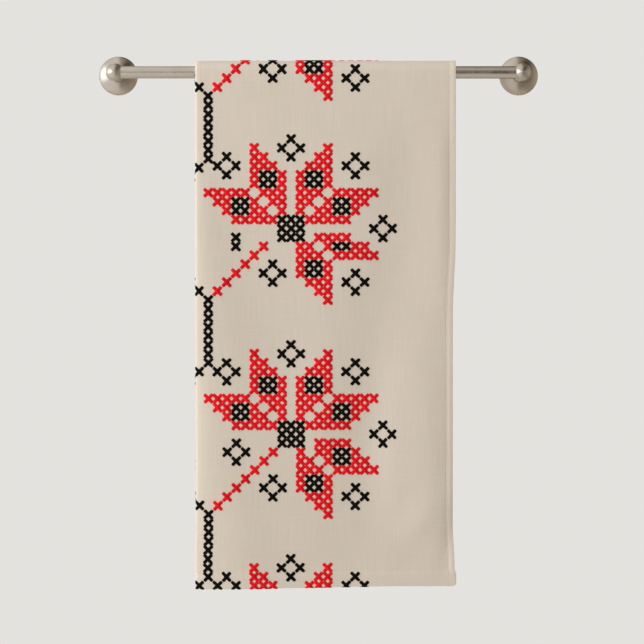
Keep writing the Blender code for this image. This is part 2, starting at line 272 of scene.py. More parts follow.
# %% Rows and stations of the sheet
ACROSS_STEPS = 78
BEND_STEPS = 8
FRONT_ROWS = 124
ARC_ROWS = 18
BACK_ROWS = 50
IN_SIDE_HEM = np.array([0, 1.75, 3.5]) * MM
IN_END_HEM = np.array([0, 1.6, 3.3, 5, 9, 13, 17.5]) * MM
AT_HEM_LINE = np.array([-5.0, -3.8, -2.5, -1.6, -0.9, -0.4, 0, 0.4, 0.9, 1.6, 2.4]) * MM
PAST_HEM_LINE = 3.4 * MM


def drop_stations(in_hem, hem, drop, rows):
    """Distances from an edge: its hem, the hem's sewn line with closer steps, and the rest."""
    rest = np.linspace(hem + PAST_HEM_LINE, drop, rows)
    return np.concatenate([in_hem, hem + AT_HEM_LINE, rest])


def across_stations():
    return 1 - drop_stations(IN_SIDE_HEM, SIDE_HEM, FACE_WIDTH, ACROSS_STEPS)[::-1] / FACE_WIDTH


STATIONS = across_stations()


def section(from_end, depth=0.0, back_depth=0.0):
    """Both skins as (x, distance, across, layer, cloth_u) columns, from edge to edge."""
    bend = BEND_RADIUS + hem_extra(0.0, from_end)
    centre_x = fold_edge(depth) + bend
    extra = hem_extra(STATIONS, from_end)
    top = STACK_LOW + 2 * (CLOTH_THICK + extra) + LAYER_GAP
    outer_x = centre_x + STATIONS * (FREE_EDGE_X - centre_x)
    outer_x = outer_x - edge_drawn_in(STATIONS, depth, back_depth)
    inner_x = outer_x - STATIONS * INNER_EDGE_INSET
    angles = math.pi * np.arange(1, BEND_STEPS) / BEND_STEPS
    low = np.full_like(top, STACK_LOW)
    across = np.concatenate([STATIONS[::-1], 0 * angles, STATIONS])
    layer = np.concatenate([STATIONS * 0 + 1, np.cos(angles), STATIONS * 0 - 1])
    bend_u = -BEND_RADIUS * angles
    inner_u = -BEND_RADIUS * math.pi - STATIONS * FLAT_WIDTH
    cloth_u = np.concatenate([STATIONS[::-1] * FLAT_WIDTH, bend_u, inner_u])
    skins = []
    for outer, inner, radius in (
        (top, low, bend),
        (top - CLOTH_THICK - extra, low + CLOTH_THICK + extra, LAYER_GAP / 2),
    ):
        x = np.concatenate([outer_x[::-1], centre_x - radius * np.sin(angles), inner_x])
        bend_distance = STACK_LOW + bend + radius * np.cos(angles)
        distance = np.concatenate([outer[::-1], bend_distance, inner])
        skins.append((x, distance, across, layer, cloth_u))
    return skins


print("points in one section:", 2 * len(section(FRONT_DROP)[0][0]))

# %% [markdown]
# Every row also notes where it lies on the flat cloth, as two attributes: `cloth_u`, across from
# the fold, and `cloth_v`, along from the front hem. The weave in the material is drawn in those
# coordinates, so it runs over the rail and round the fold without a seam or a stretch.

# %% Mesh helpers
def mesh_object(name, points, faces):
    """A smooth-shaded object whose closed skins all face outwards."""
    mesh = bpy.data.meshes.new(name)
    mesh.from_pydata(np.asarray(points).tolist(), [], faces)
    bm = bmesh.new()
    bm.from_mesh(mesh)
    bmesh.ops.recalc_face_normals(bm, faces=bm.faces)
    bm.to_mesh(mesh)
    bm.free()
    mesh.shade_smooth()
    thing = bpy.data.objects.new(name, mesh)
    bpy.context.collection.objects.link(thing)
    return thing


def add_attribute(thing, name, values):
    attribute = thing.data.attributes.new(name, "FLOAT", "POINT")
    attribute.data.foreach_set("value", np.asarray(values, np.float32).ravel())


print("mesh helpers ready")

# %% Lay out the sheet's rows
def sheet_rows():
    """One (outer skin, middle skin) pair for each row, each skin as (points, cloth_u, cloth_v)."""
    rows = []

    def add_row(skins, cloth_v, **place):
        row = []
        for x, distance, across, layer, cloth_u in skins:
            points = hang(x, distance, across, layer, **place)
            row.append((points, cloth_u, np.full(len(x), cloth_v)))
        rows.append(row)

    for from_end in drop_stations(IN_END_HEM, END_HEM, FRONT_DROP, FRONT_ROWS)[:-1]:
        depth = FRONT_DROP - from_end
        add_row(section(from_end, depth), from_end, depth=depth)
    for angle in np.linspace(0, math.pi, ARC_ROWS):
        along = FRONT_DROP + angle * STACK_MIDDLE
        add_row(section(FRONT_DROP), along, angle=angle)
    for from_end in drop_stations(IN_END_HEM, END_HEM, BACK_DROP, BACK_ROWS)[-2::-1]:
        skins = section(from_end, back_depth=BACK_DROP - from_end)
        add_row(skins, TOWEL_LENGTH - from_end, angle=math.pi, down=1 - from_end / BACK_DROP)
    return rows


rows = sheet_rows()
print("rows of the sheet:", len(rows))

# %% Join the rows into one closed sheet
def sheet_faces(row_count, width):
    """Both skins, then the strips that close the two free edges and the two hem ends."""
    def point(row, skin, k):
        return (2 * row + skin) * width + k

    def quad(first, second, along):
        near, far = along
        return (point(*first, near), point(*first, far), point(*second, far), point(*second, near))

    faces = []
    for row in range(row_count - 1):
        for skin in (0, 1):
            faces += [quad((row, skin), (row + 1, skin), (k, k + 1)) for k in range(width - 1)]
        for k in (0, width - 1):
            faces.append((point(row, 0, k), point(row, 1, k),
                          point(row + 1, 1, k), point(row + 1, 0, k)))
    for row in (0, row_count - 1):
        faces += [quad((row, 0), (row, 1), (k, k + 1)) for k in range(width - 1)]
    return faces


skins = [skin for row in rows for skin in row]
towel = mesh_object(
    "towel_cloth",
    np.concatenate([points for points, cloth_u, cloth_v in skins]),
    sheet_faces(len(rows), len(rows[0][0][1])),
)
add_attribute(towel, "cloth_u", np.concatenate([cloth_u for points, cloth_u, cloth_v in skins]))
add_attribute(towel, "cloth_v", np.concatenate([cloth_v for points, cloth_u, cloth_v in skins]))
print("towel faces:", len(towel.data.polygons))

# %% [markdown]
# Sewn edges are never knife-sharp: a turned hem is rounded like a cord. A Bevel modifier that
# only takes the sharp corners of the closed sheet rounds all four of its edges.

# %% Round the sewn edges
EDGE_ROUND = 1.3 * MM
edge_bevel = towel.modifiers.new("rounded_hems", "BEVEL")
edge_bevel.width = EDGE_ROUND
edge_bevel.segments = 3
edge_bevel.limit_method = "ANGLE"
edge_bevel.angle_limit = math.radians(50)
print("edges rounded to", EDGE_ROUND / MM, "mm")

# %% [markdown]
# ## The cloth's finish
# The cloth is a plain weave of cotton and flax. It is matt, with a faint bloom where the fibres
# catch light at the edge, which the sheen gives. Its threads swell and thin along their length,
# which shows as short pale and dark streaks along both directions. Real threads lie about
# 0.9 mm apart; they are drawn at 1.3 mm so that the camera can just hold them. The hems are three
# layers thick and let less light through, so they look a little paler.
# The weave also paints shade into the colour: the gaps between threads are darker and the threads' tops
# lighter, a painted shade.

# %% Material: flax cloth
FLAX_DARK = "#CDC2B4"
FLAX_LIGHT = "#D5CABD"
THREAD_PITCH = 1.3
SLUB_LENGTH = 55.0
SLUB_WIDTH = 1.5
PATCH_SIZE = (70.0, 110.0)
CROSS_SLUB_TONE = 0.6
PATCH_TONE = 0.45
# Painted shade: how much darker the gaps between the weave's threads are painted.
WEAVE_GAP_PAINTED_SHADE = 0.08
HEM_PALER = 0.10
HEM_LINE_SOFT = 0.6
TONE_LOW = 0.72
TONE_HIGH = 1.42
SLUB_RELIEF = 0.5
WEAVE_DEPTH = 0.25 * MM


def cloth_coordinates(tree):
    """Millimetres on the flat cloth, from the mesh's own attributes."""
    u = add_node(tree, "ShaderNodeAttribute", {"attribute_name": "cloth_u"})
    v = add_node(tree, "ShaderNodeAttribute", {"attribute_name": "cloth_v"})
    metres = add_node(tree, "ShaderNodeCombineXYZ", inputs={0: u.outputs["Fac"], 1: v.outputs["Fac"]})
    return add_node(tree, "ShaderNodeVectorMath", {"operation": "SCALE"},
                    {0: metres, "Scale": 1 / MM})


def streaks(tree, coordinates, across, along):
    """Noise stretched into streaks: sizes in mm across and along them."""
    stretched = add_node(tree, "ShaderNodeVectorMath", {"operation": "DIVIDE"},
                         {0: coordinates, 1: (across, along, 1.0)})
    noise = add_node(tree, "ShaderNodeTexNoise", {"noise_dimensions": "2D"},
                     {"Vector": stretched, "Scale": 1.0, "Detail": 2.0})
    return noise.outputs["Fac"]


def ridges(tree, across, pitch):
    """0 between two threads and 1 on top of one, from millimetres across them."""
    turns = add_node(tree, "ShaderNodeMath", {"operation": "MULTIPLY"}, {0: across, 1: math.pi / pitch})
    wave = add_node(tree, "ShaderNodeMath", {"operation": "SINE"}, {0: turns})
    return add_node(tree, "ShaderNodeMath", {"operation": "ABSOLUTE"}, {0: wave})


def on_hem(tree, u, v):
    """1 on the hems and 0 between them, from millimetres on the flat cloth."""
    inside = []
    for place, middle, half, hem in (
        (u, -FOLD_LENGTH / 2, FLAT_WIDTH + FOLD_LENGTH / 2, SIDE_HEM),
        (v, TOWEL_LENGTH / 2, TOWEL_LENGTH / 2, END_HEM),
    ):
        off_middle = add_node(tree, "ShaderNodeMath", {"operation": "SUBTRACT"},
                              {0: place, 1: middle / MM})
        away = add_node(tree, "ShaderNodeMath", {"operation": "ABSOLUTE"}, {0: off_middle})
        inside.append(add_node(tree, "ShaderNodeMath", {"operation": "SUBTRACT"},
                               {0: away, 1: (half - hem) / MM}))
    nearest = add_node(tree, "ShaderNodeMath", {"operation": "MAXIMUM"}, dict(enumerate(inside)))
    return add_node(tree, "ShaderNodeMapRange", inputs={
        "Value": nearest, "From Min": -HEM_LINE_SOFT, "From Max": HEM_LINE_SOFT})


def flax_cloth():
    material, tree, shader = new_material("flax_plain_weave")
    coordinates = cloth_coordinates(tree)
    u, v = add_node(tree, "ShaderNodeSeparateXYZ", inputs={0: coordinates}).outputs[:2]
    weave = add_node(tree, "ShaderNodeMath", {"operation": "MULTIPLY"},
                     {0: ridges(tree, u, THREAD_PITCH), 1: ridges(tree, v, THREAD_PITCH)})
    long_slubs = streaks(tree, coordinates, SLUB_WIDTH, SLUB_LENGTH)
    cross_slubs = streaks(tree, coordinates, SLUB_LENGTH, SLUB_WIDTH)
    slubs = add_node(tree, "ShaderNodeMath", {"operation": "MULTIPLY_ADD"},
                     {0: cross_slubs, 1: CROSS_SLUB_TONE, 2: long_slubs})
    tone = slubs
    # The weave's share of the tone is painted shade in the gaps between threads.
    for layer, weight in ((streaks(tree, coordinates, *PATCH_SIZE), PATCH_TONE),
                          (weave, WEAVE_GAP_PAINTED_SHADE), (on_hem(tree, u, v), HEM_PALER)):
        tone = add_node(tree, "ShaderNodeMath", {"operation": "MULTIPLY_ADD"},
                        {0: layer, 1: weight, 2: tone})
    colour = add_node(tree, "ShaderNodeMapRange", inputs={
        "Value": tone, "From Min": TONE_LOW, "From Max": TONE_HIGH})
    mixed = add_node(tree, "ShaderNodeMix", {"data_type": "RGBA"},
                     {"Factor": colour, "A": linear(FLAX_DARK), "B": linear(FLAX_LIGHT)})
    height = add_node(tree, "ShaderNodeMath", {"operation": "MULTIPLY_ADD"},
                      {0: slubs, 1: SLUB_RELIEF, 2: weave})
    relief = add_node(tree, "ShaderNodeBump", inputs={
        "Strength": 0.22, "Distance": WEAVE_DEPTH, "Height": height})
    tree.links.new(mixed.outputs["Result"], shader.inputs["Base Color"])
    tree.links.new(relief.outputs[0], shader.inputs["Normal"])
    shader.inputs["Roughness"].default_value = 0.88
    shader.inputs["Specular IOR Level"].default_value = 0.25
    shader.inputs["Sheen Weight"].default_value = 0.12
    shader.inputs["Sheen Roughness"].default_value = 0.5
    return material


towel.data.materials.append(flax_cloth())
print("cloth threads every", THREAD_PITCH, "mm")

# %% [markdown]
# ## The embroidery
# Cross-stitch is counted, not drawn: every cross fills one square of an even grid. This flower
# is an old folk motif with a black middle and pairs of petals on its diagonals, so one petal,
# counted as columns and rows from the middle, gives all the others by swapping and mirroring.
# Small diamonds of four crosses lie around it. A slanting stem runs down to the left, to a black
# stalk that links the repeats near the fold, and a slanting net goes on behind it.

# %% One flower, counted in crosses
PETAL = {(i, j) for i in range(1, 5) for j in range(i + 1, i + 6)}
PETAL_EYE = {(i, j) for i in (2, 3) for j in (5, 6)}
PETAL_CORNERS = ((1, 1), (-1, 1), (1, -1))
FLOWER_MIDDLE = {(i, j) for i in (-1, 0, 1) for j in (-1, 0, 1)}
DIAMOND_MIDDLES = ((0, 9), (7, 7), (-7, 7), (10, 0), (7, -7), (-6, -2), (-2, -6))
STEM = {(-k, -k) for k in range(2, 9)}
STALK = {(-9, j) for j in range(-16, -8)}
NET = {(-10 - k, row) for k in range(5) for row in (k - 8, -17 - k)}
SKIPPED_CROSS = (2, -1)


def petals(places):
    """The same crosses in every petal: swapped over the diagonal, then mirrored."""
    both = places | {(j, i) for i, j in places}
    return {(across * i, along * j) for across, along in PETAL_CORNERS for i, j in both}


def flower_chart():
    black = petals(PETAL_EYE) | FLOWER_MIDDLE | STALK | NET
    for i, j in DIAMOND_MIDDLES:
        black |= {(i - 1, j), (i + 1, j), (i, j - 1), (i, j + 1)}
    red = (petals(PETAL) | STEM) - black - {SKIPPED_CROSS}
    return red, black


red_chart, black_chart = flower_chart()
print("crosses in one repeat:", len(red_chart), "red and", len(black_chart), "black")

# %% [markdown]
# The flowers repeat along the cloth every 24 rows. One of them, counted from the front hem, lost
# a row below its middle, as counted work sometimes does: its lower half sits one row higher.
# Column 0 lies 137 mm from the fold's centre line. The rows follow the weave and hang level,
# although the hem's end slants.

# %% Place every cross on the flat cloth
COLUMN_PITCH = 13.50 * MM
ROW_PITCH = 13.13 * MM
FLOWER_COLUMN = 0.1371
REPEAT_ROWS = 24
FIRST_FLOWER = -0.0895
FLOWERS = (FIRST_FLOWER, 0.2253, 0.5275, 0.8397, 0.8397 + REPEAT_ROWS * ROW_PITCH,
           0.8397 + 2 * REPEAT_ROWS * ROW_PITCH)
FLOWER_THAT_LOST_A_ROW = 2
LOST_ROW = -2


def crosses(chart):
    """(cloth_u, cloth_v) of every cross of one thread that lies on the cloth."""
    places = set()
    for number, middle in enumerate(FLOWERS):
        for i, j in chart:
            row = j
            if number == FLOWER_THAT_LOST_A_ROW:
                if j == LOST_ROW:
                    continue
                if j < LOST_ROW:
                    row = j + 1
            v = middle + row * ROW_PITCH
            if 0 < v < TOWEL_LENGTH:
                places.add((FLOWER_COLUMN + i * COLUMN_PITCH, v))
    u, v = np.array(sorted(places)).T
    across = np.maximum(u, -u - FOLD_LENGTH).clip(0, FLAT_WIDTH) / FLAT_WIDTH
    share = np.abs(FRONT_DROP - v) / FRONT_DROP
    return np.stack([u, v - hem_slant(across) * share], axis=1)


red_crosses, black_crosses = crosses(red_chart), crosses(black_chart)
print("crosses on the cloth:", len(red_crosses), "red and", len(black_crosses), "black")

# %% [markdown]
# A stitch lies on the cloth's right side, so this function finds the point a little above that
# side from a place on the flat cloth. It follows the outer layer, the fold and the inner layer,
# and wraps round a hem's end where the grid runs over it. The inner layer faces the rail, where
# the weight of the cloth presses the threads flat, and the fold presses them on the way there.

# %% From the flat cloth to its right side
INNER_LIFT = 0.4


def on_cloth(u, v, lift):
    from_end = np.minimum(v, TOWEL_LENGTH - v)
    past = np.maximum(EDGE_ROUND - from_end, 0)
    corner = np.minimum(past / EDGE_ROUND, math.pi / 2)
    lift = lift * (1 - (1 - INNER_LIFT) * np.clip(-u / FOLD_LENGTH, 0, 1))
    round_end = EDGE_ROUND - (EDGE_ROUND + lift) * np.sin(corner)
    from_end = np.where(past > 0, round_end, from_end)
    sunk = np.maximum(past - EDGE_ROUND * math.pi / 2, 0)
    lift = (EDGE_ROUND + lift) * np.cos(corner) - EDGE_ROUND - sunk
    v = np.where(v < TOWEL_LENGTH / 2, from_end, TOWEL_LENGTH - from_end)

    turned = np.clip(-u / BEND_RADIUS, 0, math.pi)
    layer = np.where(u >= 0, 1.0, np.where(u < -FOLD_LENGTH, -1.0, 0.0))
    across = np.where(u >= 0, u, np.maximum(-u - FOLD_LENGTH, 0)) / FLAT_WIDTH
    turn = math.pi * (STACK_MIDDLE + layer * LAYER_OFFSET * across)
    depth = np.maximum(FRONT_DROP - v, 0)
    angle = np.clip((v - FRONT_DROP) / turn, 0, 1) * math.pi
    down = np.maximum(v - FRONT_DROP - turn, 0) / (TOWEL_LENGTH - FRONT_DROP - turn)
    extra = hem_extra(across, from_end)
    bend = BEND_RADIUS + hem_extra(0.0, from_end)
    centre_x = fold_edge(depth) + bend
    free_x = FREE_EDGE_X - np.where(layer < 0, INNER_EDGE_INSET, 0)
    x = centre_x + across * (free_x - centre_x) - edge_drawn_in(across, depth, down * BACK_DROP)
    x = x - (bend + lift) * np.sin(turned)
    outer = STACK_LOW + 2 * (CLOTH_THICK + extra) + LAYER_GAP + lift
    in_fold = STACK_LOW + bend + (bend + lift) * np.cos(turned)
    distance = np.select([layer > 0, layer < 0], [outer, STACK_LOW - lift], in_fold)
    return hang(x, distance, across, layer, depth, angle, down)


print("first black cross is at", on_cloth(*black_crosses[0], 0.0).round(4))

# %% [markdown]
# Each cross is two plump stitches of stranded cotton, one over the other. A stitch could be a
# beveled curve, but thousands of curves are slow, so one small grid of points, shaped like half
# a bolster, is bent over the cloth by `on_cloth` for all stitches at once. The second stitch has
# to climb over the first, which gives the cross its small hump. A little seeded wobble keeps it
# handmade. The black thread is slightly thinner than the red. The same function sews the hems.

# %% Build many stitches as one mesh
Stitch = namedtuple("Stitch", "half_length half_width height climb wobble turn_wobble")
SLICE_PLACES = np.array([-1, -0.93, -0.79, -0.55, -0.28, 0, 0.28, 0.55, 0.79, 0.93, 1])
SLICE_HEIGHTS = np.array([-0.35, 0.52, 0.90, 1.0, 0.90, 0.52, -0.35])
SLICE_WIDTHS = np.array([-1, -0.84, -0.45, 0, 0.45, 0.84, 1])
TIP_WIDTH = 0.68
TIP_SQUARENESS = 4
CLIMB_REACH = 0.8


def stitch_grid(shape):
    """(along, across, height) of a stitch's points, and how its slices join."""
    along = SLICE_PLACES * shape.half_length
    past_middle = np.maximum(np.abs(along) - (shape.half_length - shape.half_width), 0)
    left_over = 1 - (past_middle / shape.half_width) ** TIP_SQUARENESS
    rounded = np.maximum(left_over, TIP_WIDTH ** TIP_SQUARENESS) ** (1 / TIP_SQUARENESS)
    climb = shape.climb * bump(0, CLIMB_REACH * shape.half_width, along)
    across = np.outer(rounded * shape.half_width, SLICE_WIDTHS)
    height = np.outer(rounded * shape.height, SLICE_HEIGHTS) + climb[:, None]
    along = np.repeat(along[:, None], len(SLICE_WIDTHS), axis=1)
    size = len(SLICE_WIDTHS)
    faces = []
    for slice_start in range(0, (len(SLICE_PLACES) - 1) * size, size):
        for k in range(size):
            near, far = slice_start + k, slice_start + (k + 1) % size
            faces.append((near, far, far + size, near + size))
    faces += [tuple(range(size)), tuple(range(along.size - size, along.size))]
    return along.ravel(), across.ravel(), height.ravel(), faces


def stitches(name, parts):
    """One mesh of many stitches; each part is (places, direction in degrees, shape)."""
    random = np.random.default_rng(len(name))
    points, faces, along_all, across_all, shade_all = [], [], [], [], []
    start = 0
    for places, direction, shape in parts:
        along, across, height, grid_faces = stitch_grid(shape)
        number, size = len(places), len(along)
        turn = np.radians(direction + shape.turn_wobble * random.normal(size=(number, 1)))
        moved = places + shape.wobble * random.normal(size=(number, 2))
        u = moved[:, :1] + along * np.cos(turn) - across * np.sin(turn)
        v = moved[:, 1:] + along * np.sin(turn) + across * np.cos(turn)
        points.append(on_cloth(u, v, np.broadcast_to(height, u.shape)).reshape(-1, 3))
        for k in range(number):
            offset = start + k * size
            faces += [tuple(corner + offset for corner in face) for face in grid_faces]
        start += number * size
        along_all.append(np.tile(along, number))
        across_all.append(np.tile(across, number))
        shade_all.append(np.repeat(random.random(number), size))
    thing = mesh_object(name, np.concatenate(points), faces)
    add_attribute(thing, "stitch_along", np.concatenate(along_all))
    add_attribute(thing, "stitch_across", np.concatenate(across_all))
    add_attribute(thing, "stitch_shade", np.concatenate(shade_all))
    return thing


RED_UNDER = Stitch(half_length=8.8 * MM, half_width=2.75 * MM, height=1.1 * MM, climb=0.0,
                   wobble=0.12 * MM, turn_wobble=1.5)
BLACK_UNDER = RED_UNDER._replace(half_width=2.6 * MM)
OVER_CLIMB = 0.9 * MM


def cross_stitches(name, places, under):
    return stitches(name, [(places, 45, under), (places, -45, under._replace(climb=OVER_CLIMB))])


red_stitches = cross_stitches("embroidery_red", red_crosses, RED_UNDER)
black_stitches = cross_stitches("embroidery_black", black_crosses, BLACK_UNDER)
print("stitch faces:", len(red_stitches.data.polygons), len(black_stitches.data.polygons))

# %% [markdown]
# The hems are held by a line of machine stitches, 3 mm long: one along each side of the towel,
# where the pull has left a soft groove, and one across each end, round the fold.

# %% Sew the hems
SEWN = Stitch(half_length=1.4 * MM, half_width=0.34 * MM, height=0.28 * MM, climb=0.0,
              wobble=0.03 * MM, turn_wobble=1.0)
SEWING_PITCH = 3.5 * MM


def sewing_line(start, end):
    """Places of stitches along a straight line on the flat cloth."""
    length = math.dist(start, end)
    steps = np.linspace(0, 1, int(length / SEWING_PITCH))[:, None]
    return np.array(start) + steps * (np.array(end) - np.array(start))


outer_side = FLAT_WIDTH - SIDE_HEM
inner_side = -FOLD_LENGTH - outer_side
side_lines = [sewing_line((u, SEWING_PITCH), (u, TOWEL_LENGTH - SEWING_PITCH))
              for u in (outer_side, inner_side)]
end_lines = [sewing_line((inner_side, v), (outer_side, v)) for v in (END_HEM, TOWEL_LENGTH - END_HEM)]
hem_sewing = stitches("hem_sewing", [
    (np.concatenate(side_lines), 90, SEWN), (np.concatenate(end_lines), 0, SEWN)])
print("sewing faces:", len(hem_sewing.data.polygons))

# %% [markdown]
# The embroidery thread is stranded cotton: six fine strands lie side by side and shine softly
# along their length. The shader draws the strands across each stitch, from the places that the
# mesh stored, as a bump and as painted light: each strand's top is painted lighter, a painted
# sheen, and the groove between strands darker, a painted shade. Each stitch gets its own slight
# tone, because dye takes unevenly. The strands are drawn 0.7 mm apart, a little coarser than real ones.

# %% Materials: stranded cotton and sewing thread
STRAND_PITCH = 0.7
STRAND_TWIST = 0.25
# Painted sheen and shade: how much lighter the strands' tops and darker the grooves between them are
# painted.
STRAND_PAINTED_SHEEN_AND_SHADE = 0.45
DYE_TONE = 0.55
STRAND_DEPTH = 0.2 * MM


def cotton_thread(name, dark, light, shine):
    material, tree, shader = new_material(name)

    def millimetres(attribute):
        read = add_node(tree, "ShaderNodeAttribute", {"attribute_name": attribute})
        return add_node(tree, "ShaderNodeMath", {"operation": "MULTIPLY"},
                        {0: read.outputs["Fac"], 1: 1 / MM})

    along, across = millimetres("stitch_along"), millimetres("stitch_across")
    shade = add_node(tree, "ShaderNodeAttribute", {"attribute_name": "stitch_shade"}).outputs["Fac"]
    slanted = add_node(tree, "ShaderNodeMath", {"operation": "MULTIPLY_ADD"},
                       {0: along, 1: STRAND_TWIST, 2: across})
    # Strand tops painted lighter and grooves darker: painted sheen and painted shade.
    strand = ridges(tree, slanted, STRAND_PITCH)
    dyed = add_node(tree, "ShaderNodeMath", {"operation": "MULTIPLY"}, {0: shade, 1: DYE_TONE})
    tone = add_node(tree, "ShaderNodeMath", {"operation": "MULTIPLY_ADD"},
                    {0: strand, 1: STRAND_PAINTED_SHEEN_AND_SHADE, 2: dyed})
    mixed = add_node(tree, "ShaderNodeMix", {"data_type": "RGBA"},
                     {"Factor": tone, "A": linear(dark), "B": linear(light)})
    relief = add_node(tree, "ShaderNodeBump", inputs={
        "Strength": 0.6, "Distance": STRAND_DEPTH, "Height": strand})
    tree.links.new(mixed.outputs["Result"], shader.inputs["Base Color"])
    tree.links.new(relief.outputs[0], shader.inputs["Normal"])
    shader.inputs["Roughness"].default_value = 0.68
    shader.inputs["Specular IOR Level"].default_value = shine
    return material


for thing, thread in ((red_stitches, ("stranded_cotton_red", "#C40E18", "#F41A26", 0.15)),
                      (black_stitches, ("stranded_cotton_black", "#060403", "#100E0B", 0.08)),
                      (hem_sewing, ("sewing_cotton_flax", "#DCD2C2", "#EDE4D6", 0.2))):
    thing.data.materials.append(cotton_thread(*thread))
print("threads:", [m.name for m in bpy.data.materials if "cotton" in m.name])

# %% [markdown]
# ## The rail
# The rail is turned and drawn brass with a satin nickel finish: plated, then brushed while it
# spins, so fine lines run round every piece. Each piece is spun again from its profile, with
# more steps than the frame needs. Its origin goes on its own axis, because the shader works out
# the brushing direction from there.

# %% Spin a profile into a solid
ROUND_STEPS = 96
MERGE_DISTANCE = 1e-6
SHARP_ANGLE = math.radians(28)
OUTWARDS = Matrix.Rotation(math.pi / 2, 4, "X")


def turned(name, profile, closed, place=OUTWARDS):
    """Spin (radius, height) pairs about z; a profile that isn't closed ends on the axis."""
    bm = bmesh.new()
    points = [bm.verts.new((radius, 0.0, height)) for radius, height in profile]
    edges = [bm.edges.new(pair) for pair in zip(points, points[1:])]
    if closed:
        edges.append(bm.edges.new((points[-1], points[0])))
    bmesh.ops.spin(bm, geom=points + edges, cent=(0, 0, 0), axis=(0, 0, 1),
                   angle=math.tau, steps=ROUND_STEPS, use_merge=True)
    bmesh.ops.remove_doubles(bm, verts=bm.verts, dist=MERGE_DISTANCE)
    bmesh.ops.recalc_face_normals(bm, faces=bm.faces)
    bm.transform(place)
    mesh = bpy.data.meshes.new(name)
    bm.to_mesh(mesh)
    bm.free()
    mesh.shade_smooth()
    mesh.set_sharp_from_angle(angle=SHARP_ANGLE)
    thing = bpy.data.objects.new(name, mesh)
    bpy.context.collection.objects.link(thing)
    return thing


print("turned pieces have", ROUND_STEPS, "steps")

# %% [markdown]
# The tube is 18 mm across with a 1 mm wall. Its ends sit inside the two heads, so only its
# straight length shows.

# %% The rail tube
RAIL_WALL = 1.0 * MM


def rail_tube():
    half = (tube_high.x - tube_low.x) / 2
    bore = RAIL_RADIUS - RAIL_WALL
    profile = [(RAIL_RADIUS, -half), (RAIL_RADIUS, half), (bore, half), (bore, -half)]
    tube = turned("rail_tube_satin", profile, True, Matrix.Rotation(math.pi / 2, 4, "Y"))
    tube.location = (0, -RAIL_STANDOFF, 0)
    return tube


tube = rail_tube()
print(f"tube length {(tube_high.x - tube_low.x) / MM:.0f} mm")

# %% [markdown]
# A post is one turned piece: a flat puck at the back, a neck that narrows in one sweep and
# a ball head. The head is bored from the side for the tube and faced flat round the bore, which
# a Boolean does as a drill would.

# %% The two posts
POST_X = 0.300
FIT_GAP = 0.3 * MM
PUCK_RADIUS = 20 * MM
PUCK_DEPTH = 8 * MM
NECK_ROOT_RADIUS = 10.5 * MM
NECK_WAIST_RADIUS = 7.2 * MM
NECK_WAIST_FROM_BACK = 55 * MM
HEAD_RADIUS = 13.2 * MM
HEAD_LIP_OFFSET = 9 * MM
TUBE_END_OFFSET = 3 * MM
NECK_STEPS = 16
HEAD_STEPS = 32


def neck_radius(from_back):
    t = (from_back - PUCK_DEPTH) / (NECK_WAIST_FROM_BACK - PUCK_DEPTH)
    return NECK_WAIST_RADIUS + (NECK_ROOT_RADIUS - NECK_WAIST_RADIUS) * (1 - t) ** 2


def post_profile():
    neck_end = RAIL_STANDOFF - math.sqrt(HEAD_RADIUS ** 2 - NECK_WAIST_RADIUS ** 2)
    neck = np.linspace(PUCK_DEPTH, neck_end, NECK_STEPS, endpoint=False)
    first_angle = math.asin(neck_radius(neck_end) / HEAD_RADIUS)
    head = np.linspace(first_angle, math.pi, HEAD_STEPS, endpoint=False)
    profile = [(0.0, 0.0), (PUCK_RADIUS, 0.0), (PUCK_RADIUS, PUCK_DEPTH)]
    profile += [(neck_radius(from_back), from_back) for from_back in neck]
    profile += [(HEAD_RADIUS * math.sin(a), RAIL_STANDOFF - HEAD_RADIUS * math.cos(a)) for a in head]
    return profile + [(0.0, RAIL_STANDOFF + HEAD_RADIUS)]


def socket_profile():
    bore = RAIL_RADIUS + FIT_GAP
    floor = TUBE_END_OFFSET - FIT_GAP
    beyond = 2 * HEAD_RADIUS
    return [(0.0, floor), (bore, floor), (bore, HEAD_LIP_OFFSET), (beyond, HEAD_LIP_OFFSET),
            (beyond, beyond), (0.0, beyond)]


def cut(piece, name, profile, place):
    """Cut a turned shape out of a piece, once and for all."""
    cutter = turned(name, profile, False, place)
    modifier = piece.modifiers.new(name, "BOOLEAN")
    modifier.operation = "DIFFERENCE"
    modifier.object = cutter
    shaped = bpy.data.meshes.new_from_object(piece.evaluated_get(bpy.context.evaluated_depsgraph_get()))
    piece.modifiers.clear()
    piece.data = shaped
    shaped.name = piece.name
    shaped.set_sharp_from_angle(angle=SHARP_ANGLE)
    bpy.data.objects.remove(cutter, do_unlink=True)


def post(side):
    piece = turned("post_satin_" + side, post_profile(), False)
    to_middle = 1 if side == "left" else -1
    head = Matrix.Translation((0, -RAIL_STANDOFF, 0))
    along_rail = head @ Matrix.Rotation(to_middle * math.pi / 2, 4, "Y")
    cut(piece, "socket_" + side, socket_profile(), along_rail)
    piece.location = (-to_middle * POST_X, 0, 0)
    return piece


posts = {side: post(side) for side in ("left", "right")}
print("post faces:", {side: len(piece.data.polygons) for side, piece in posts.items()})

# %% [markdown]
# The cover is a thin domed shell that hides the puck. Its rim is level with the puck's back, and
# a grub screw in its lower edge holds it to the puck.

# %% The domed covers
COVER_RADIUS = 29 * MM
COVER_RIM_DEPTH = 2 * MM
COVER_DOME_DEPTH = 12.5 * MM
COVER_WALL = 1.5 * MM
COVER_NECK_GAP = 0.4 * MM
RIM_ROUND = 0.5 * MM
DOME_STEPS = 26
SCREW_HOLE_RADIUS = 1.8 * MM
SCREW_FROM_BACK = 5 * MM


def dome_arc(radius, depth, hole):
    """Quarter of an ellipse, from the top of the rim in to the edge of the hole."""
    angles = np.linspace(math.pi / 2, math.asin(hole / radius), DOME_STEPS)
    return [(radius * math.sin(a), COVER_RIM_DEPTH + depth * math.cos(a)) for a in angles]


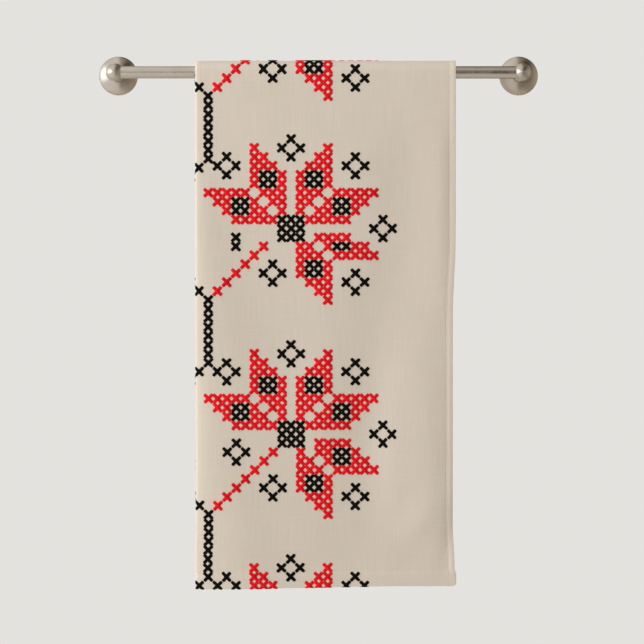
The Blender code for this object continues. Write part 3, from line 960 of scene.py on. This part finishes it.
def cover_profile():
    hole = neck_radius(COVER_RIM_DEPTH + COVER_DOME_DEPTH - COVER_WALL) + COVER_NECK_GAP
    inner_radius = COVER_RADIUS - COVER_WALL
    outer = [(COVER_RADIUS - RIM_ROUND, 0.0), (COVER_RADIUS, RIM_ROUND)]
    outer += dome_arc(COVER_RADIUS, COVER_DOME_DEPTH, hole)
    inner = [(inner_radius, 0.0)] + dome_arc(inner_radius, COVER_DOME_DEPTH - COVER_WALL, hole)
    return outer + inner[::-1]


def cover(side):
    piece = turned("cover_satin_" + side, cover_profile(), True)
    hole = [(0.0, PUCK_RADIUS), (SCREW_HOLE_RADIUS, PUCK_RADIUS),
            (SCREW_HOLE_RADIUS, 2 * COVER_RADIUS), (0.0, 2 * COVER_RADIUS)]
    downwards = Matrix.Translation((0, -SCREW_FROM_BACK, 0)) @ Matrix.Rotation(math.pi, 4, "X")
    cut(piece, "screw_hole_" + side, hole, downwards)
    piece.location = posts[side].location
    return piece


covers = {side: cover(side) for side in posts}
print("cover faces:", {side: len(piece.data.polygons) for side, piece in covers.items()})

# %% [markdown]
# Satin nickel reflects like a metal with a warm grey tint. The brushing lines run round each
# piece, so a highlight spreads across them: on a ball it opens into a bright wedge, which an
# even roughness can't give. That is what the shader's anisotropy does: its tangent runs round the
# piece's own axis, with the lines, and a quarter turn spreads the light across them. The lines
# themselves are finer than the camera can see, so they are drawn 0.5 mm apart, as a faint bump.
# Handling has left patches, about 22 mm across, that are a touch smoother or duller.

# %% Materials: satin nickel
NICKEL = "#DAD1C6"
LINE_PITCH = 0.5
ACROSS_THE_LINES = 0.25
PATCHES_IN_A_METRE = 45.0
SMOOTHER = 0.04
DULLER = 0.05


def brushed_metal(name, colour, axis, roughness, anisotropy, line_depth):
    """Metal brushed round one of its object's axes."""
    material, tree, shader = new_material(name)
    place = add_node(tree, "ShaderNodeTexCoord").outputs["Object"]
    split = add_node(tree, "ShaderNodeSeparateXYZ", inputs={0: place})
    parts = {letter: split.outputs[k] for k, letter in enumerate("XYZ")}
    along = parts.pop(axis)
    squares = [add_node(tree, "ShaderNodeMath", {"operation": "POWER"}, {0: part, 1: 2.0})
               for part in parts.values()]
    both = add_node(tree, "ShaderNodeMath", {"operation": "ADD"}, dict(enumerate(squares)))
    radius = add_node(tree, "ShaderNodeMath", {"operation": "SQRT"}, {0: both})
    profile = add_node(tree, "ShaderNodeCombineXYZ", inputs={0: radius, 1: along})
    lines = add_node(tree, "ShaderNodeTexNoise", {"noise_dimensions": "2D"}, {
        "Vector": profile, "Scale": 1 / (LINE_PITCH * MM), "Detail": 3.0})
    wear = add_node(tree, "ShaderNodeTexNoise", inputs={
        "Vector": place, "Scale": PATCHES_IN_A_METRE, "Detail": 4.0, "Roughness": 0.6})
    rough = add_node(tree, "ShaderNodeMapRange", inputs={
        "Value": wear.outputs["Fac"], "From Min": 0.3, "From Max": 0.7,
        "To Min": roughness - SMOOTHER, "To Max": roughness + DULLER})
    relief = add_node(tree, "ShaderNodeBump", inputs={
        "Strength": 0.5, "Distance": line_depth, "Height": lines.outputs["Fac"]})
    tangent = add_node(tree, "ShaderNodeTangent", {"direction_type": "RADIAL", "axis": axis})
    tree.links.new(rough.outputs[0], shader.inputs["Roughness"])
    tree.links.new(relief.outputs[0], shader.inputs["Normal"])
    tree.links.new(tangent.outputs[0], shader.inputs["Tangent"])
    shader.inputs["Anisotropic Rotation"].default_value = ACROSS_THE_LINES
    shader.inputs["Base Color"].default_value = linear(colour)
    shader.inputs["Metallic"].default_value = 1.0
    shader.inputs["Anisotropic"].default_value = anisotropy
    return material


post_nickel = brushed_metal("satin_nickel_turned", NICKEL, "Y", 0.37, 0.86, 0.02 * MM)
tube_nickel = brushed_metal("satin_nickel_drawn", NICKEL, "X", 0.21, 0.50, 0.003 * MM)
tube.data.materials.clear()
tube.data.materials.append(tube_nickel)
for piece in [*posts.values(), *covers.values()]:
    piece.data.materials.clear()
    piece.data.materials.append(post_nickel)
print("metals:", post_nickel.name, tube_nickel.name)

# %% [markdown]
# The two grub screws keep the frame's own shape, which has their hexagon sockets, and only need a
# finish. Each sits in a shaded hole, so little of it shows, and plain dull steel is a fair guess.

# %% Finish the grub screws
screw_steel = brushed_metal("grub_screw_steel", "#8F8A82", "Z", 0.42, 0.0, 0.01 * MM)
for name in ("set_screw_left", "set_screw_right"):
    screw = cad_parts[name]
    screw.data.materials.clear()
    screw.data.materials.append(screw_steel)
print("screws finished")

# %% [markdown]
# ## Light, floor and camera
# The photo was taken in soft daylight that comes mostly from the left. One large softbox on the
# left gives the cloth its gentle modelling, and a weak glow from the ceiling makes the top a little
# brighter than the hem. Metal needs something to mirror: it sees a room that is pale on the left
# and browner on the right, with a dark part in front and the window as a soft bright spot, which
# can't burn out as the lamp would. The cloth gets a plain fill that is weaker from the right.
# Camera rays see only the pale backdrop.
# The room is painted by direction, in small steps. A soft step goes from 0 to 1 between two
# directions, and a blend lays one colour over another where its step is 1. Written as a list, each
# step has a name that the later ones can use.

# %% Add shader steps from a list
STEP_NODES = {
    "soft step": ("ShaderNodeMapRange", {"interpolation_type": "SMOOTHSTEP"},
                  ("Value", "From Min", "From Max")),
    "blend": ("ShaderNodeMix", {"data_type": "RGBA"}, ("Factor", "A", "B")),
}


def add_steps(tree, parts, steps):
    """Add a node for each (name, what it does, inputs); any other word is a Math operation."""
    for name, does, *values in steps:
        kind, settings, sockets = STEP_NODES.get(
            does, ("ShaderNodeMath", {"operation": does}, (0, 1, 2)))
        inputs = {}
        for socket, value in zip(sockets, values):
            is_colour = str(value).startswith("#")
            inputs[socket] = linear(value) if is_colour else parts.get(value, value)
        parts[name] = add_node(tree, kind, settings, inputs)


print("a step is a Math operation or one of:", ", ".join(STEP_NODES))

# %% Steps of the dark part in front
DARK_PART = (
    ("on the right", "soft step", "right", -0.05, 0.05),
    ("half height", "MULTIPLY_ADD", "on the right", 0.52, 0.03),
    ("rises", "soft step", "right", 0.08, 0.35),
    ("middle", "MULTIPLY", "rises", 0.35),
    ("off middle", "SUBTRACT", "up", "middle"),
    ("away", "ABSOLUTE", "off middle"),
    ("share", "DIVIDE", "away", "half height"),
    ("high or low", "soft step", "share", 0.75, 1.2),
    ("left", "MULTIPLY", "right", -1.0),
    ("off to left", "soft step", "left", 0.08, 0.20),
    ("off to right", "soft step", "right", 0.55, 0.80),
    ("at its sides", "MAXIMUM", "off to left", "off to right"),
    ("round it", "MAXIMUM", "high or low", "at its sides"),
)
print("steps of the dark part:", len(DARK_PART))

# %% Steps of the mirrored room and the cloth's fill
MIRRORED_ROOM = (
    ("last right", "soft step", "right", 0.80, 0.95),
    ("brown side", "blend", "last right", "#9B9181", "#C2B7A6"),
    ("both sides", "blend", "on the right", "#E3E1DC", "brown side"),
    ("far right", "soft step", "right", 0.25, 0.60),
    ("brown back", "blend", "far right", "#453C2F", "#9C9284"),
    ("whole back", "blend", "on the right", "#B4AEA5", "brown back"),
    ("front", "blend", "round it", "#18130B", "both sides"),
    ("behind", "soft step", "back", 0.10, 0.45),
    ("room", "blend", "behind", "front", "whole back"),
    ("at window", "soft step", "facing window", 0.90, 0.98),
    ("reflected", "blend", "at window", "room", "window"),
)
CLOTH_FILL = (
    ("towards right", "soft step", "right", -0.5, 0.5),
    ("fill in front", "blend", "towards right", "#D6D2CB", "#6B645A"),
    ("towards back", "soft step", "back", -0.1, 0.3),
    ("fill", "blend", "towards back", "fill in front", "#D2CEC6"),
    ("either", "blend", "glossy", "fill", "reflected"),
)
print("steps of the room and the fill:", len(MIRRORED_ROOM) + len(CLOTH_FILL))

# %% The room's light
BACKDROP = "#E4E2DE"
ROOM_STRENGTH = 1.1
DAYLIGHT = (0.97, 0.985, 1.0)
KEY_PLACE = (-3.6, -2.4, 0.7)
WINDOW_SEEN = (2.9, 3.0, 3.2, 1.0)


def room_light():
    world = bpy.data.worlds.new("pale_room")
    bpy.context.scene.world = world
    world.use_nodes = True
    tree = world.node_tree
    tree.nodes.clear()
    direction = add_node(tree, "ShaderNodeTexCoord").outputs["Generated"]
    right, back, up = add_node(tree, "ShaderNodeSeparateXYZ", inputs={0: direction}).outputs
    facing = add_node(tree, "ShaderNodeVectorMath", {"operation": "DOT_PRODUCT"}, {
        0: direction, 1: tuple(Vector(KEY_PLACE).normalized())})
    ray = add_node(tree, "ShaderNodeLightPath")
    parts = {"right": right, "back": back, "up": up, "window": WINDOW_SEEN,
             "facing window": facing.outputs["Value"], "glossy": ray.outputs["Is Glossy Ray"]}
    add_steps(tree, parts, DARK_PART + MIRRORED_ROOM + CLOTH_FILL)
    lit = add_node(tree, "ShaderNodeBackground", inputs={
        "Color": parts["either"], "Strength": ROOM_STRENGTH})
    plain = add_node(tree, "ShaderNodeBackground", inputs={"Color": linear(BACKDROP)})
    both = add_node(tree, "ShaderNodeMixShader", inputs={
        0: ray.outputs["Is Camera Ray"], 1: lit, 2: plain})
    add_node(tree, "ShaderNodeOutputWorld", inputs={"Surface": both})


def softbox(name, place, aim, size, watts):
    light = bpy.data.lights.new(name, "AREA")
    light.shape = "RECTANGLE"
    light.color = DAYLIGHT
    light.size, light.size_y = size
    light.energy = watts
    lamp = bpy.data.objects.new(name, light)
    bpy.context.collection.objects.link(lamp)
    lamp.location = place
    lamp.rotation_euler = (Vector(aim) - Vector(place)).to_track_quat("-Z", "Y").to_euler()
    return lamp


room_light()
bpy.context.scene.view_settings.view_transform = "Standard"
key = softbox("window_left", KEY_PLACE, aim=(0, 0, -0.35), size=(3.0, 3.4), watts=185)
ceiling = softbox("ceiling_glow", (0.6, -1.6, 1.5), aim=(0.1, 0, 0), size=(1.4, 1.0), watts=7)
key.visible_glossy = ceiling.visible_glossy = False
print("lights:", key.name, "and", ceiling.name)

# %% [markdown]
# The floor lies well below the towel, so the photo's view doesn't take it in.

# %% The floor
FLOOR_Z = -1.2
FLOOR_RADIUS = 1.3
FLOOR_SIDES = 96

floor_bm = bmesh.new()
bmesh.ops.create_circle(floor_bm, cap_ends=True, segments=FLOOR_SIDES, radius=FLOOR_RADIUS)
floor_mesh = bpy.data.meshes.new("studio_floor")
floor_bm.to_mesh(floor_mesh)
floor_bm.free()
floor = bpy.data.objects.new("studio_floor", floor_mesh)
bpy.context.collection.objects.link(floor)
floor.location.z = FLOOR_Z
floor_paint, floor_tree, floor_shader = new_material("pale_floor_paint")
floor_shader.inputs["Base Color"].default_value = linear("#D2CEC7")
floor_shader.inputs["Roughness"].default_value = 0.8
floor_mesh.materials.append(floor_paint)
print("floor at z =", FLOOR_Z)

# %% [markdown]
# The camera stands about four metres away, a little below the rail's height, and looks down by
# one degree. A long lens keeps the rail's ends almost the same size.

# %% The camera
LENS = 148.76
CAMERA_PLACE = (0.0052, -4.0, -0.2916)
CAMERA_DOWN = 1.110

lens = bpy.data.cameras.new("photo_camera")
lens.lens = LENS
lens.sensor_width = 36.0
lens.clip_end = 50.0
camera = bpy.data.objects.new("photo_camera", lens)
bpy.context.collection.objects.link(camera)
camera.location = CAMERA_PLACE
camera.rotation_euler = (math.radians(90 - CAMERA_DOWN), 0, 0)
bpy.context.scene.camera = camera
print("camera", CAMERA_PLACE, "lens", LENS)

# %% [markdown]
# ## Hand the pieces to the frame
# Every piece rides on the model's one body, and the imported node that it stands for is hidden.

for piece, node in ((towel, "towel"), (tube, "rail_tube"),
                    *((posts[side], "post_" + side) for side in posts),
                    *((covers[side], "flange_cover_" + side) for side in covers)):
    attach(piece, BODY)
    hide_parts(node)
for piece, finish in ((red_stitches, "thread_red"), (black_stitches, "thread_black"),
                      (hem_sewing, "cloth")):
    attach(piece, BODY)
